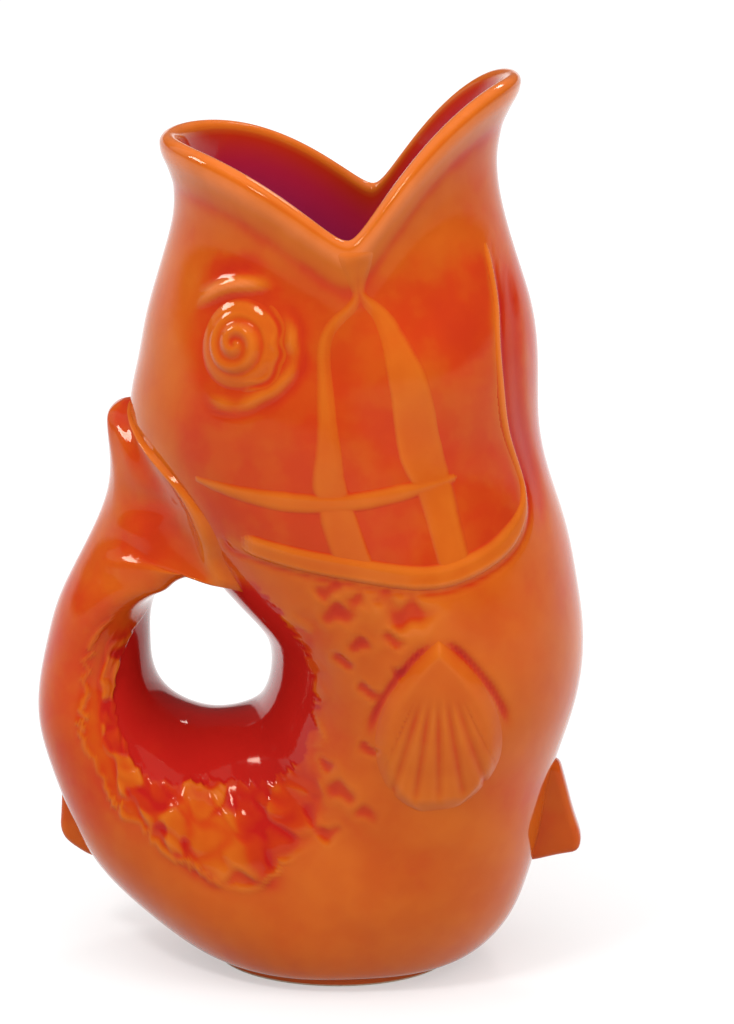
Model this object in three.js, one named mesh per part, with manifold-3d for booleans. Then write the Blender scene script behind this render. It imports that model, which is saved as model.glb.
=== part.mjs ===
// A fish pitcher: a glazed earthenware jug in the form of a fish that stands on its curled belly.
// The head points up and opens as the mouth, and the hollow tail curls up behind it as the handle.
// Millimetres. +Z is up, +X points from the handle to the spout, and the fish is symmetric about Y = 0.
import * as THREE from "three";
import { mergeVertices } from "three/addons/utils/BufferGeometryUtils.js";
import Module from "manifold-3d";

const wasm = await Module();
wasm.setup();

// Driving dimensions of the jug
const SPOUT_HEIGHT = 260; // tip of the lower jaw, which is the pouring lip
const BACK_LIP_HEIGHT = 243; // tip of the upper jaw
const CORNER_HEIGHT = 221; // corner of the mouth
const CORNER_X = 6; // corner of the mouth, forward of the foot's centre
const CORNER_RADIUS = 3; // how sharply the lips meet at the corner
const SPOUT_BOW = 1.5; // how full the lower lip's edge is from corner to tip, 1 being straight
const BACK_LIP_BOW = 1.9; // the same for the upper lip
const LIP_REACH = 50.5; // the lip's half length from upper to lower jaw
const LIP_FLARE = 6; // how far the lip turns out
const LIP_DEPTH = 14; // how far below its edge the lip starts to turn out
const WALL = 5; // clay wall of the body and of the hollow tail
const FLOOR = 6; // clay under the water
const SLIP_GAP = 0.3; // slip joint between two luted pieces

// The foot: an unglazed ring that the jug stands on
const FOOT_HEIGHT = 2;
const FOOT_LENGTH = 70;
const FOOT_WIDTH = 58;
const FOOT_RING_WIDTH = 7;

// Applied pieces. Positions on the skin are a station and an angle in degrees.
const EDGE_RISE = 0.8; // an applied piece's edge above the skin
const EYE = { station: 2.36, angle: 116, radius: 14.5, rise: 2.8, coil: 3.2, coils: 2.5, lift: 0.6 };
const PECTORAL = [
  // station, angle of the middle, half the angle across
  [6.36, 77, 2], [6.8, 79, 12], [7.3, 81, 19], [7.9, 80, 22.5], [8.4, 78, 22.5], [8.8, 75, 18], [9.1, 72, 9],
];
const PECTORAL_RIBS = 6;
const PECTORAL_RISE = 2.2;
const PECTORAL_GROOVE = 1; // depth between two ribs
const GILL_PATH = [
  [5.1, 126], [5.28, 106], [5.42, 90], [5.58, 72], [5.5, 56], [5.3, 42], [4.95, 31],
  [4.5, 27], [3.94, 30], [3.3, 33], [2.54, 34], [1.92, 31], [1.3, 28],
];
const GILL_WIDTH = 5;
const GILL_RISE = 1.8;
const CHEEK_BACK_STRUT = [[1.45, 83], [1.8, 84], [3.08, 88], [4.5, 92]];
const CHEEK_FRONT_STRUT = [[1.5, 82], [1.8, 72], [2.98, 61], [4.3, 50]];
const CHEEK_BAND = [[4.42, 123], [4.46, 106], [4.52, 90], [4.4, 70], [4.26, 48]];
const CHEEK_WIDTH = 6;
const CHEEK_RISE = 1.5;
const FIN_THICKNESS = 9; // fins in the plane of symmetry
const FIN_EDGE = 1.5; // their rounded edge
const VENTRAL_FIN = [
  [50, 62], [65.5, 62], [67.5, 55], [69.8, 46], [72.6, 38], [71.6, 34], [66, 33], [57, 30.5], [40, 31],
];
const ANAL_FIN = [[-65, 56], [-80, 50], [-80.3, 43], [-80.8, 36.8], [-79, 33], [-71.5, 28], [-55, 25]];

// Sections of the fish from the mouth down the body, round the belly and up the tail. Each runs in the
// plane of symmetry from a point of the belly, or outer side, to a point of the back, or inner side. wide
// is half its size from side to side, and wrap bends its sides towards the back, per square millimetre.
const STATIONS = [
  { at: "spout", belly: [45.5, SPOUT_HEIGHT], back: [-43.5, SPOUT_HEIGHT], wide: 41, wrap: 0 },
  { at: "neck", belly: [46, 229], back: [-43, 229], wide: 42.5, wrap: 0 },
  { at: "eyes", belly: [54.3, 200], back: [-50.9, 200], wide: 49, wrap: 0 },
  { at: "cheeks", belly: [57.6, 181], back: [-55.3, 181], wide: 53, wrap: 0 },
  { at: "gills", belly: [58.3, 162], back: [-57.5, 162], wide: 55, wrap: 0 },
  { at: "shoulder", belly: [63.2, 141], back: [-48.5, 138], wide: 56, wrap: 0 },
  { at: "fins", belly: [68.7, 122], back: [-33, 116], wide: 56, wrap: 0 },
  { at: "belly", belly: [71.5, 101], back: [-20.5, 102.5], wide: 55, wrap: 0 },
  { at: "vent", belly: [70.3, 81], back: [-18, 90], wide: 53, wrap: 0 },
  { at: "bend", belly: [63, 55], back: [-20, 81], wide: 50, wrap: 0 },
  { at: "keel", belly: [48.5, 9], back: [-24.5, 75.7], wide: 46, wrap: 0 },
  { at: "foot", belly: [0, -16], back: [-33, 73.3], wide: 42, wrap: 0 },
  { at: "root", belly: [-46, 6.5], back: [-42, 74], wide: 38, wrap: 0 },
  { at: "heel", belly: [-70, 29], back: [-49.5, 79], wide: 31, wrap: 0 },
  { at: "tail", belly: [-83, 57.5], back: [-53.2, 86.5], wide: 26, wrap: 0 },
  { at: "grip", belly: [-86.2, 77], back: [-54, 96], wide: 23, wrap: 0 },
  { at: "wrist", belly: [-82, 101], back: [-52.5, 106.5], wide: 23.5, wrap: 0.003 },
  { at: "fluke", belly: [-74, 119.5], back: [-47, 117], wide: 30, wrap: 0.0115 },
  { at: "collar", belly: [-68, 131.8], back: [-46, 127], wide: 38.5, wrap: 0.0165 },
  { at: "spread", belly: [-64.7, 142], back: [-51, 140], wide: 44, wrap: 0.0148 },
  { at: "lobe", belly: [-64.2, 152], back: [-54, 151], wide: 41.5, wrap: 0.0118 },
  { at: "brow", belly: [-64.8, 161], back: [-57.5, 161], wide: 25, wrap: 0.0125 },
  { at: "apex", belly: [-63.5, 166.5], back: [-60, 166.5], wide: 3, wrap: 0.014 },
];
const LAST = STATIONS.length - 1;
const stationOf = (name) => STATIONS.findIndex((s) => s.at === name);
const GILLS = stationOf("gills");
const ROOT = stationOf("heel"); // the body ends here and the tail begins
const FLUKE = stationOf("fluke"); // the tail ends here and its fin begins

const bellyLine = new THREE.SplineCurve(STATIONS.map((s) => new THREE.Vector2(...s.belly)));
const backLine = new THREE.SplineCurve(STATIONS.map((s) => new THREE.Vector2(...s.back)));
const widths = new THREE.SplineCurve(STATIONS.map((s) => new THREE.Vector2(s.wide, s.wrap)));

// Height of the mouth's edge at an angle round the head: two lips that meet in a V at each corner.
function rimHeight(angle) {
  const x = LIP_REACH * Math.cos(angle);
  const [tipX, tip, bow] =
    x > CORNER_X ? [LIP_REACH, SPOUT_HEIGHT, SPOUT_BOW] : [-LIP_REACH, BACK_LIP_HEIGHT, BACK_LIP_BOW];
  const run = (along) => Math.hypot(along - CORNER_X, CORNER_RADIUS) - CORNER_RADIUS;
  return CORNER_HEIGHT + (tip - CORNER_HEIGHT) * (1 - (1 - run(x) / run(tipX)) ** bow);
}

// Station of the head at a height: the sections fall steadily from the spout to the gills.
function headStation(z) {
  let [low, high] = [0, GILLS];
  for (let i = 0; i < 24; i++) {
    const middle = (low + high) / 2;
    if (bellyLine.getPoint(middle / LAST).y > z) low = middle;
    else high = middle;
  }
  return (low + high) / 2;
}

// Station of the head at a share of the way from the spout's station to the gills', below the mouth's edge
function mouthStation(station, angle) {
  if (station >= GILLS) return station;
  const gillHeight = STATIONS[GILLS].belly[1];
  const share = (bellyLine.getPoint(station / LAST).y - gillHeight) / (SPOUT_HEIGHT - gillHeight);
  return headStation(gillHeight + share * (rimHeight(angle) - gillHeight));
}

// A point of the fish's skin, at a station and an angle round the section, moved out by offset. Angle 0 is
// the belly or outer side, half a turn is the back or inner side, and a quarter turn is the +Y side.
function skin(station, angle, offset = 0) {
  const t = station / LAST;
  const belly = bellyLine.getPoint(t);
  const back = backLine.getPoint(t);
  const [wide, wrap] = widths.getPoint(t);
  const depth = (rimHeight(angle) - belly.y) / LIP_DEPTH;
  const flare = station < GILLS ? LIP_FLARE * Math.exp(-depth * depth) : 0;
  const half = belly.distanceTo(back) / 2;
  const y = (wide + flare + offset) * Math.sin(angle);
  const out = (half + flare + offset) * Math.cos(angle) - wrap * y * y;
  const point = belly.clone().add(back).multiplyScalar(0.5);
  point.addScaledVector(belly.clone().sub(back), out / (2 * half));
  const underside = FOOT_HEIGHT + Math.max(0, -offset * (FLOOR / WALL));
  return new THREE.Vector3(point.x, y, Math.max(point.y, underside));
}

// Solids
function geometryOf(points, faces) {
  const geometry = new THREE.BufferGeometry().setFromPoints(points);
  geometry.setIndex(faces.flat());
  return geometry;
}

function volumeOf(points, faces) {
  const cross = new THREE.Vector3();
  return faces.reduce((sum, [a, b, c]) => {
    cross.crossVectors(points[b], points[c]);
    return sum + points[a].dot(cross) / 6;
  }, 0);
}

// A closed solid through rings that have as many points each. A loop joins the last ring to the first,
// and otherwise a fan closes each end.
function loft(rings, loop = false) {
  const n = rings[0].length;
  const points = rings.flat();
  const faces = [];
  const bands = loop ? rings.length : rings.length - 1;
  for (let i = 0; i < bands; i++) {
    for (let j = 0; j < n; j++) {
      const a = i * n + j;
      const b = i * n + ((j + 1) % n);
      const c = ((i + 1) % rings.length) * n + j;
      const d = ((i + 1) % rings.length) * n + ((j + 1) % n);
      faces.push([a, b, d], [a, d, c]);
    }
  }
  if (!loop) {
    for (const [start, turn] of [[0, 1], [(rings.length - 1) * n, 0]]) {
      const ring = points.slice(start, start + n);
      const hub = points.length;
      points.push(ring.reduce((sum, p) => sum.add(p), new THREE.Vector3()).divideScalar(n));
      for (let j = 0; j < n; j++) {
        const edge = [start + j, start + ((j + 1) % n)];
        faces.push(turn ? [edge[1], edge[0], hub] : [edge[0], edge[1], hub]);
      }
    }
  }
  if (volumeOf(points, faces) < 0) faces.forEach((f) => f.reverse());
  return geometryOf(points, faces);
}

function solidOf(geometry) {
  const plain = geometry.clone();
  plain.deleteAttribute("normal");
  plain.deleteAttribute("uv");
  const merged = mergeVertices(plain, 1e-4);
  return new wasm.Manifold(
    new wasm.Mesh({
      numProp: 3,
      vertProperties: new Float32Array(merged.attributes.position.array),
      triVerts: new Uint32Array(merged.index.array),
    }),
  );
}

function geometryFrom(solid) {
  const { vertProperties, triVerts } = solid.getMesh();
  const geometry = new THREE.BufferGeometry();
  geometry.setAttribute("position", new THREE.BufferAttribute(vertProperties, 3));
  geometry.setIndex(new THREE.BufferAttribute(triVerts, 1));
  return geometry;
}

// The largest body of a solid, without crumbs that a cut leaves
function largest(solid) {
  return solid.decompose().reduce((best, s) => (s.volume() > best.volume() ? s : best));
}

const turns = (count) => Array.from({ length: count }, (_, i) => (2 * Math.PI * i) / count);
const steps = (from, to, count) =>
  Array.from({ length: count + 1 }, (_, i) => from + ((to - from) * i) / count);
const ringAt = (station, count, offset) =>
  turns(count).map((angle) => skin(mouthStation(station, angle), angle, offset));

// The body: a shell from the mouth's edge to the tail's root, open at both
const BODY_SIDES = 40;
const bodyStations = steps(0, ROOT, 3 * ROOT);
function bodyShell() {
  const outside = bodyStations.map((s) => ringAt(s, BODY_SIDES, 0));
  const inside = bodyStations.filter((s, i) => i % 2 === 0 || s === ROOT);
  return loft([...outside, ...inside.reverse().map((s) => ringAt(s, BODY_SIDES, -WALL))], true);
}

// The body without its hollow, grown by the slip joint, which cuts what is luted to it
const bodyCut = solidOf(loft(bodyStations.map((s) => ringAt(s, BODY_SIDES, SLIP_GAP))));

// The tail: a hollow curl, open to the body at its root and closed below its fin
const TAIL_SIDES = 24;
const slipAlong = (station) => {
  const across = STATIONS[station];
  const [x, z] = [across.belly[0] - across.back[0], across.belly[1] - across.back[1]];
  return new THREE.Vector3(z, 0, -x).setLength(SLIP_GAP);
};
const tailStations = steps(ROOT, FLUKE, 5 * (FLUKE - ROOT));
const tailCut = solidOf(loft(tailStations.map((s) => ringAt(s, TAIL_SIDES, SLIP_GAP))));
function tailHandle() {
  const outside = tailStations.map((s) => ringAt(s, TAIL_SIDES, 0));
  const boreEnd = FLUKE - 1;
  const inside = steps(boreEnd, ROOT, 3 * (boreEnd - ROOT)).map((s) => ringAt(s, TAIL_SIDES, -WALL));
  for (const ring of [outside[0], inside.at(-1)]) ring.forEach((p) => p.add(slipAlong(ROOT)));
  const hollow = solidOf(loft([...outside.reverse(), ...inside.reverse()]));
  return geometryFrom(largest(hollow.subtract(bodyCut)));
}

// The tail's fin: spread round the back of the head and luted to it
function tailFin() {
  const rings = steps(FLUKE, LAST, 4 * (LAST - FLUKE)).map((s) => ringAt(s, TAIL_SIDES, 0));
  rings[0].forEach((p) => p.add(slipAlong(FLUKE)));
  return geometryFrom(largest(solidOf(loft(rings)).subtract(bodyCut)));
}

// The foot ring
function footRing() {
  const ellipse = (length, width) =>
    new THREE.EllipseCurve(0, 0, length / 2, width / 2, 0, 2 * Math.PI).getPoints(BODY_SIDES).slice(0, -1);
  const ring = 2 * FOOT_RING_WIDTH;
  const shape = new THREE.Shape(ellipse(FOOT_LENGTH, FOOT_WIDTH));
  shape.holes.push(new THREE.Path(ellipse(FOOT_LENGTH - ring, FOOT_WIDTH - ring)));
  return new THREE.ExtrudeGeometry(shape, { depth: FOOT_HEIGHT, bevelEnabled: false });
}

// Lengths in millimetres of one station and of one radian, at a place on the skin
function scaleAt(station, angle) {
  const step = 0.01;
  const here = skin(station, angle);
  return {
    station: skin(station + step, angle).distanceTo(here) / step,
    angle: skin(station, angle + step).distanceTo(here) / step,
  };
}

const radians = THREE.MathUtils.degToRad;

// The station and the angle that are reached by going from a place in a direction, over the skin
function walk(station, angle, turn, distance) {
  const paces = 4;
  let at = [station, angle];
  for (let i = 0; i < paces; i++) {
    const scale = scaleAt(...at);
    const pace = distance / paces;
    at = [at[0] + (pace * Math.cos(turn)) / scale.station, at[1] + (pace * Math.sin(turn)) / scale.angle];
  }
  return at;
}

// A disc on the skin, whose height is given by the distance from its middle and the turn round it
function disc({ station, angle, radius }, rings, sides, height) {
  const ring = (r, heightAt) =>
    turns(sides).map((turn) => skin(...walk(station, radians(angle), turn, r), heightAt(r, turn)));
  const radii = steps(radius / rings, radius, rings - 1);
  const top = radii.map((r) => ring(r, height));
  const seat = radii.reverse().map((r) => ring(r, () => SLIP_GAP));
  return loft([...top, ...seat]);
}

// A bead along a path on the skin, round on top
function bead(path, width, rise, count) {
  const places = path.map(([station, angle]) => new THREE.Vector2(station, radians(angle)));
  const curve = new THREE.SplineCurve(places);
  const profile = [[-1, EDGE_RISE], [-0.6, 0.8 * rise], [0, rise], [0.6, 0.8 * rise], [1, EDGE_RISE]];
  const rings = steps(0, 1, count).map((t) => {
    const at = curve.getPoint(t);
    const tangent = curve.getTangent(t);
    const scale = scaleAt(...at);
    const side = Math.atan2(tangent.x * scale.station, -tangent.y * scale.angle);
    const point = (share, height) => skin(...walk(...at, side, (share * width) / 2), height);
    return [
      ...profile.map(([share, height]) => point(share, height)),
      ...[1, 0, -1].map((share) => point(share, SLIP_GAP)),
    ];
  });
  return loft(rings);
}

// The eye: a mound with a raised spiral
function eye() {
  const { radius, rise, coil, coils, lift } = EYE;
  return disc(EYE, 8, 20, (r, turn) => {
    const mound = EDGE_RISE + (rise - EDGE_RISE) * Math.cos((Math.PI / 2) * (r / radius)) ** 2;
    const spiral = r < coil * coils ? Math.min(1, r / coil) * Math.cos((2 * Math.PI * r) / coil - turn) : 0;
    return mound + lift * spiral;
  });
}

// The pectoral fin: a fan of ribs that spreads from its root
function pectoralFin() {
  const rows = PECTORAL.map((row) => new THREE.Vector3(...row));
  const outline = new THREE.CatmullRomCurve3(rows, false, "catmullrom");
  const across = 2 * PECTORAL_RIBS;
  const low = PECTORAL_RISE - PECTORAL_GROOVE;
  const rings = steps(0, 1, 14).map((t) => {
    const { x: station, y: angle, z: half } = outline.getPoint(t);
    const place = (share, height) => skin(station, radians(angle + share * half), height);
    return [
      ...steps(-1, 1, across).map((share, i) => place(share, i % 2 ? PECTORAL_RISE : low)),
      ...steps(1, -1, across).map((share) => place(share, SLIP_GAP)),
    ];
  });
  return loft(rings);
}

function cheekFrame() {
  const beads = [
    bead(CHEEK_BACK_STRUT, CHEEK_WIDTH, CHEEK_RISE, 14),
    bead(CHEEK_FRONT_STRUT, CHEEK_WIDTH, CHEEK_RISE, 14),
    bead(CHEEK_BAND, CHEEK_WIDTH, CHEEK_RISE, 20),
  ];
  return geometryFrom(beads.map(solidOf).reduce((sum, s) => sum.add(s)));
}

// A fin in the plane of symmetry, seated on the pieces that it grows from
function middleFin(outline, ...cuts) {
  const shape = new THREE.Shape(outline.map(([x, z]) => new THREE.Vector2(x, z)));
  const flat = new THREE.ExtrudeGeometry(shape, {
    depth: FIN_THICKNESS - 2 * FIN_EDGE,
    bevelThickness: FIN_EDGE,
    bevelSize: FIN_EDGE,
    bevelOffset: -FIN_EDGE,
    bevelSegments: 2,
  });
  flat.translate(0, 0, FIN_EDGE - FIN_THICKNESS / 2);
  flat.rotateX(Math.PI / 2);
  return geometryFrom(largest(cuts.reduce((rest, cut) => rest.subtract(cut), solidOf(flat))));
}

function mirrored(geometry) {
  const other = geometry.clone();
  other.scale(1, -1, 1);
  const index = other.index.array;
  for (let i = 0; i < index.length; i += 3) [index[i], index[i + 1]] = [index[i + 1], index[i]];
  return other;
}

// Materials
const glaze = { roughness: 0.12, metalness: 0 };
const orange = new THREE.MeshStandardMaterial({ color: 0xc8481a, ...glaze });
const amber = new THREE.MeshStandardMaterial({ color: 0xd2591f, ...glaze });
const bisque = new THREE.MeshStandardMaterial({ color: 0xd9c3a5, roughness: 0.85, metalness: 0 });

// The pitcher
const pitcher = new THREE.Group();
function piece(name, geometry, material) {
  const mesh = new THREE.Mesh(geometry, material);
  mesh.name = name;
  pitcher.add(mesh);
}
function pair(name, geometry, material) {
  piece(`left_${name}`, geometry, material);
  piece(`right_${name}`, mirrored(geometry), material);
}
piece("body_shell", bodyShell(), orange);
piece("tail_handle", tailHandle(), orange);
piece("tail_fin", tailFin(), orange);
piece("foot_ring", footRing(), bisque);
piece("ventral_fin", middleFin(VENTRAL_FIN, bodyCut), orange);
piece("anal_fin", middleFin(ANAL_FIN, bodyCut, tailCut), orange);
pair("eye", eye(), amber);
pair("pectoral_fin", pectoralFin(), amber);
pair("gill_rim", bead(GILL_PATH, GILL_WIDTH, GILL_RISE, 48), amber);
pair("cheek_frame", cheekFrame(), amber);

// The origin is under the middle of the pitcher's box
const middle = new THREE.Box3().setFromObject(pitcher).getCenter(new THREE.Vector3());
for (const mesh of pitcher.children) mesh.geometry.translate(-middle.x, 0, 0);

export default pitcher;
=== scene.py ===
"""A glazed earthenware pitcher in the form of a fish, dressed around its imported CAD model.

Shapes are worked out in millimetres about the middle of the foot, as in the part's source, and then moved
into the frame. A place on the fish's skin is a station along the fish and an angle round it: half a turn is
its back or inner side, and a quarter turn is its left side.
"""
import math

import bpy
import numpy as np
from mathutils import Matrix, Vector


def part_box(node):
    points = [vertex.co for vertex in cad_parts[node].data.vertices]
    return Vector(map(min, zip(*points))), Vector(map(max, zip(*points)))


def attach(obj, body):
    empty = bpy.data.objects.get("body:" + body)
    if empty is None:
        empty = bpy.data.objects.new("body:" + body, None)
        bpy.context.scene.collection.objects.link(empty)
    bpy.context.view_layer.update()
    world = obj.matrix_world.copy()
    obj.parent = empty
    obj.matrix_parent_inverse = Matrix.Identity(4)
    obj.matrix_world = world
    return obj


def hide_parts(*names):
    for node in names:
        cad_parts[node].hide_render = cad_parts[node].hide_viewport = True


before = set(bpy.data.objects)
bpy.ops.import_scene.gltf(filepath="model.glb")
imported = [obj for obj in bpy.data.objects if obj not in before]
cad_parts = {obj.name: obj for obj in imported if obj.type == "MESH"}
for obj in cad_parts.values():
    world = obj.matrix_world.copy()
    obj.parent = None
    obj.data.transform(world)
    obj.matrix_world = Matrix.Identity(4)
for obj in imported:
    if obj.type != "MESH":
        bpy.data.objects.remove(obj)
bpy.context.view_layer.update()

MM = 0.001
FOOT_X = (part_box("foot_ring")[0][0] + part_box("foot_ring")[1][0]) / 2  # the foot's middle in the frame

# Sizes of the jug, as in the part's source
SPOUT_HEIGHT = 260
BACK_LIP_HEIGHT = 243
CORNER_HEIGHT = 221
CORNER_X = 6
CORNER_RADIUS = 3
SPOUT_BOW = 1.5
BACK_LIP_BOW = 1.9
LIP_REACH = 50.5
LIP_FLARE = 6
LIP_DEPTH = 14
WALL = 5
FLOOR = 6
FOOT_HEIGHT = 2
FOOT_LENGTH = 70
FOOT_WIDTH = 58
FOOT_RING_WIDTH = 7
FIN_THICKNESS = 9
FIN_EDGE = 2.4
FIN_DOME = 0.5
VENTRAL_FIN = [
    (50, 62), (65.5, 62), (67.5, 55), (69.8, 46), (72.6, 38), (71.6, 34), (66, 33), (57, 30.5), (40, 31),
]
ANAL_FIN = [(-65, 56), (-80, 50), (-80.3, 43), (-80.8, 36.8), (-79, 33), (-71.5, 28), (-55, 25)]

# Sections of the fish: belly or outer side x and z, back or inner side x and z, half width, wrap of the sides
STATIONS = np.array([
    (45.5, SPOUT_HEIGHT, -43.5, SPOUT_HEIGHT, 41, 0),
    (46, 229, -43, 229, 42.5, 0),
    (54.3, 200, -50.9, 200, 49, 0),
    (57.6, 181, -55.3, 181, 53, 0),
    (58.3, 162, -57.5, 162, 55, 0),
    (63.2, 141, -48.5, 138, 56, 0),
    (68.7, 122, -33, 116, 56, 0),
    (71.5, 101, -20.5, 102.5, 55, 0),
    (70.3, 81, -18, 90, 53, 0),
    (63, 55, -20, 81, 50, 0),
    (48.5, 9, -24.5, 75.7, 46, 0),
    (0, -16, -33, 73.3, 42, 0),
    (-46, 6.5, -42, 74, 38, 0),
    (-70, 29, -49.5, 79, 31, 0),
    (-83, 57.5, -53.2, 86.5, 26, 0),
    (-86.2, 77, -54, 96, 23, 0),
    (-82, 101, -52.5, 106.5, 23.5, 0.003),
    (-74, 119.5, -47, 117, 30, 0.0115),
    (-68, 131.8, -46, 127, 38.5, 0.0165),
    (-64.7, 142, -51, 140, 44, 0.0148),
    (-64.2, 152, -54, 151, 41.5, 0.0118),
    (-64.8, 161, -57.5, 161, 25, 0.0125),
    (-63.5, 166.5, -60, 166.5, 3, 0.014),
], float)
GILLS = 4
ROOT = 13  # the body ends here and the tail begins
FLUKE = 17  # the tail ends here and its fin begins
APEX = len(STATIONS) - 1
BORE_END = 16  # the tail's hollow ends here

# Fineness of the meshes
COLUMNS = 300
BODY_ROWS = 250
TAIL_ROWS = 96
FIN_ROWS = 60
INNER_ROWS = 34
BORE_ROWS = 18
ROLL_TURNS = np.linspace(0, np.pi, 11)[1:-1]
SPRIG_STEP = 0.45
OUTLINE_STEP = 1.2
FLANK_ANGLE = math.radians(104)  # where the rows are evenly spaced

# Relief of the skin, in millimetres and degrees
LIP_ROUND = 2.4
FOOT_BLEND = 5  # how softly the belly turns into the foot
SEAT = 0.7  # how deep an applied piece is pressed into the skin
FEATHER = 0.2  # depth below the skin at which an applied piece ends
FAR = 99.0  # distance given to a place far from a path
NEAR = 50  # distance up to which a place is near a path
FUNNEL = np.array([
    # station and angle of the edge of the smooth funnel that leads into the finger hole
    (5.5, 128), (6.0, 124), (6.7, 127), (7.3, 129), (8.4, 128), (9.2, 129), (9.9, 132), (10.5, 135),
    (11.1, 138), (11.7, 134), (12.1, 127), (12.5, 122), (13.0, 119), (13.7, 120), (14.5, 122), (15.1, 129),
    (15.7, 142), (16.0, 170),
])
CRATER = np.array([
    # station and angle of the outer edge of the rough ground round the funnel
    (5.5, 110), (6.4, 120), (7.7, 126), (9.1, 121), (9.9, 115), (10.44, 109), (11.0, 101), (11.5, 96),
    (12.0, 97), (12.7, 101), (13.6, 104), (14.9, 107), (16.0, 116),
])
ROUGH_RISE = 0.2
ISLAND_RISE = 0.5
BIG_ISLAND = (11.3, 112)
BIG_ISLAND_REACH = 11
LUMP_LENGTH = 7.5
LUMP_ANGLE = 13
LUMP_RISE = 0.4
ZIGZAG_PATH = [
    (16.6, 92), (15.8, 97), (15.0, 93), (14.4, 91), (13.6, 89), (13.0, 93), (12.5, 94), (12.1, 96),
    (11.6, 95), (11.0, 100), (10.5, 106), (10.0, 111),
]
ZIGZAG_TEETH = 23
ZIGZAG_REACH = 1.6
ZIGZAG_RISE = 0.55
ZIGZAG_WIDTH = 0.9
PITS = [
    # station, angle, radius, depth
    (5.6, 102, 2.6, 0.8), (5.92, 103, 3.2, 1.0), (5.74, 95, 2.4, 0.8), (5.72, 86, 2.2, 0.6),
    (5.96, 82, 4.2, 1.2), (6.44, 103, 2.4, 0.9), (6.8, 113, 2.0, 0.8), (6.34, 91, 2.2, 0.8),
    (6.88, 94, 1.8, 0.7), (7.32, 107, 2.2, 0.9), (9.08, 118, 2.0, 0.8), (8.52, 105, 2.0, 0.9),
    (9.38, 110, 3.0, 0.8), (9.44, 98, 2.4, 0.6), (9.98, 107, 2.4, 0.8),
]
PIT_SINK = 0.6  # shares of a pit's depth
PIT_RIM = 0.12
PIT_STRETCH = (0.8, 1, 1.25)
EYE = {"station": 2.36, "angle": 116, "radius": 14.5, "rise": 2.4, "coil": 5.2, "coils": 1.75, "lift": 0.4}
GILL_PATH = [
    (5.1, 126), (5.28, 106), (5.42, 90), (5.58, 72), (5.5, 56), (5.3, 42), (4.95, 31),
    (4.5, 27), (3.94, 30), (3.3, 33), (2.54, 34), (1.92, 31), (1.3, 28),
]
GILL_RISE = 0.85
THROAT_ANGLE = 27
THROAT_DEPTH = 0.7
CHEEK_BACK_STRUT = [
    # station, angle, half width
    (1.3, 82.5, 4.2), (1.5, 82, 3.0), (1.72, 80.8, 2.0), (1.9, 84, 2.2), (2.2, 90, 2.4), (2.8, 90, 2.6),
    (3.4, 88.3, 3.2), (3.9, 87.5, 4.3), (4.25, 88.5, 5.2), (4.7, 89, 5.6), (5.5, 91, 5.8),
]
CHEEK_FRONT_STRUT = [
    (1.3, 79, 4.2), (1.5, 79, 3.0), (1.72, 79.2, 2.0), (1.9, 74.5, 2.8), (2.2, 70.5, 3.8), (2.8, 66.5, 6.0),
    (3.4, 63.3, 7.0), (3.9, 61.3, 7.4), (4.3, 59.5, 6.4), (4.75, 59.5, 5.4), (5.55, 61.5, 5.2),
]
CHEEK_BAND = [
    (4.34, 130, 1.2), (4.42, 119, 2.4), (4.5, 102, 3.4), (4.49, 85, 3.2), (4.39, 69, 3.0), (4.25, 49, 1.6),
]
CHEEK_EDGE = (2.6, 1.6)  # how far a strut's edge slopes within its half width and beyond it
PECTORAL_ROOT = (6.36, 76)
PECTORAL_TIP = (9.12, 73)
PECTORAL_HALF = 18.2
PECTORAL_RISE = 1.6
PECTORAL_GROOVES = 5
PECTORAL_SPREAD = 46
PECTORAL_GROOVED = 21  # degrees to each side of its middle

# Ridges, and grooves below 0: rise, place and width, in millimetres from a line or a point
LIP_BEAD = (0.7, 4, 3.4)
LIP_GROOVE = (-0.25, 13.5, 2.6)
GILL_GROOVE = (-0.35, 2.6, 0.9)
FAN_CRESCENT = (-0.9, 1.0, 1.2)
EYE_FOLD = (0.75, 16.2, 1.6)
EYE_MOAT = (-0.25, 18.8, 1.4)
EYE_RING = (0.2, 10.2, 1.2)
EYE_LIDS = [(0.3, 11.6, 0.9), (0.3, 13.8, 0.8)]
BROW = (1.6, 16.2, 2.2)
FAN_GROOVE = (-0.6, 0, 1.1)
CHEEK_RIDGE = (0.15, 0, 0.8)

# The tail's fin: heights above the head in millimetres, and ridges across shares of its half width
FIN_SIDE = 0.5
FIN_SEAT = -0.45
FIN_HEM = (1.7, 0.94, 0.04)
FIN_FOLD = (0.8, 0.55, 0.1)
# painted highlight along the fin's hem and painted dark reflection on its sides, as tone, place and width
FIN_HEM_HIGHLIGHT = (0.5, 0.95, 0.03)
FIN_SIDE_DARK_REFLECTION = (-0.3, 0.65, 0.17)
FIN_TOP = 21.1  # the station above which its tip is rounded
TONGUE = (5, 2.5, -5)  # how far its lower corners reach forward, outward and up
TONGUE_STATION = 18.15
TONGUE_LIFT = 2.5

ROLL_GLAZE = 0.75  # how much paler the top of the lip is: a painted highlight along the edge, with the glaze thinned there
SPRIG_SOFTNESS = 1.1  # how little the tone of an applied piece follows its relief: paler where raised and darker where sunk, as glaze breaks and pools and as painted highlight and shade


# Small helpers
def ramp(x, start, end):
    t = np.clip((np.asarray(x, float) - start) / (end - start), 0, 1)
    return t * t * (3 - 2 * t)


def window(x, start, full, fade, end):
    """1 from full to fade, and 0 before start and after end."""
    return ramp(x, start, full) * (1 - ramp(x, fade, end))


def bell(distance, width):
    return np.exp(-(np.asarray(distance, float) / width) ** 2)


def ridge(distance, rise, place, width):
    return rise * bell(distance - place, width)


def length(vectors):
    return np.linalg.norm(vectors, axis=-1)


def unit(vectors):
    return vectors / (length(vectors)[..., None] + 1e-12)


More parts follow.
